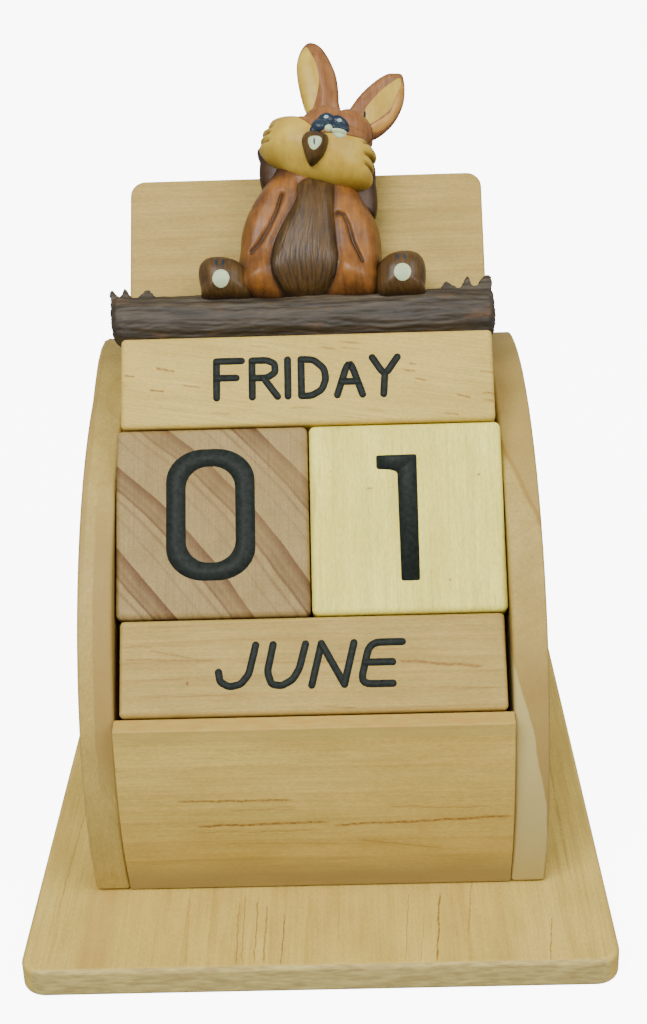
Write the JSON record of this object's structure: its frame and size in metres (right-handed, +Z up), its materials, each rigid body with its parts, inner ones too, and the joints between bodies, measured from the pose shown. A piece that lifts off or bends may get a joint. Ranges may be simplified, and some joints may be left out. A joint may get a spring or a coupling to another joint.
{
  "type": "perpetual desk calendar",
  "caption": "Free-standing wooden perpetual desk calendar: a leaning pocket between two curved cheeks holds date cubes and turning name bars, under a carved rabbit on a log.",
  "frame": {"origin": "centre of the base board's underside", "axes": "+Z up, -Y towards the reader, +X to the reader's right"},
  "size_m": [0.1204, 0.13, 0.1651],
  "materials": {
    "pine": "bare, sanded, flat grain with a few thin brown lines",
    "pale_pine": "bare, sanded, almost white with faint straight grain",
    "banded_pine": "bare, sanded, with broad reddish-brown growth bands",
    "bark": "carved and stained dark grey-brown, satin, with worn highlights",
    "orange_stain": "carved, stained orange-brown and varnished",
    "tan_stain": "carved, stained yellow-tan and varnished",
    "dark_stain": "carved, stained dark brown and varnished",
    "screw_steel": "plain, slightly dull"
  },
  "bodies": {
    "stand": {"base_board": "pine", "cheek_left": "pine", "cheek_right": "pine", "front_block": "pine", "pocket_back": "pine", "cross_rail": "pine", "upper_board": "pine", "log": "bark", "rabbit_body": "orange_stain", "rabbit_head": "tan_stain", "rabbit_ear_left": "orange_stain", "rabbit_ear_right": "orange_stain", "rabbit_nose": "dark_stain", "rabbit_foot_left": "dark_stain", "rabbit_foot_right": "dark_stain", "log_dowel_left": "pine", "log_dowel_right": "pine", "rabbit_dowel": "pine", "cheek_screw_front_left": "screw_steel", "cheek_screw_front_right": "screw_steel", "cheek_screw_back_left": "screw_steel", "cheek_screw_back_right": "screw_steel", "block_screw_left": "screw_steel", "block_screw_right": "screw_steel"},
    "weekday": {"weekday_bar": "pine"},
    "weekday_spare": {"weekday_bar_spare": "pine"},
    "month": {"month_bar": "pine"},
    "month_spare": {"month_bar_spare": "pine"},
    "month_third": {"month_bar_third": "pine"},
    "tens": {"date_cube_tens": "banded_pine"},
    "units": {"date_cube_units": "pale_pine"}
  },
  "joints": [
    {"name": "weekday_bar_lift", "type": "slide", "parent": "stand", "child": "weekday", "axis": [0, -0.7944, 0.6074], "range_m": [0, 0.05]},
    {"name": "tens_cube_lift", "type": "slide", "parent": "stand", "child": "tens", "axis": [0, -0.7944, 0.6074], "range_m": [0, 0.05]},
    {"name": "units_cube_lift", "type": "slide", "parent": "stand", "child": "units", "axis": [0, -0.7944, 0.6074], "range_m": [0, 0.05]},
    {"name": "month_bar_lift", "type": "slide", "parent": "stand", "child": "month", "axis": [0, -0.7944, 0.6074], "range_m": [0, 0.05]},
    {"name": "month_spare_lift", "type": "slide", "parent": "stand", "child": "month_spare", "axis": [0, -0.7944, 0.6074], "range_m": [0, 0.05]},
    {"name": "weekday_spare_draw", "type": "slide", "parent": "stand", "child": "weekday_spare", "axis": [0, 1, 0], "range_m": [0, 0.048]},
    {"name": "month_third_draw", "type": "slide", "parent": "stand", "child": "month_third", "axis": [0, 1, 0], "range_m": [0, 0.048]}
  ],
  "couplings": [
    {"joint": "month_spare_lift", "follows": "month_bar_lift", "ratio": 1}
  ]
}
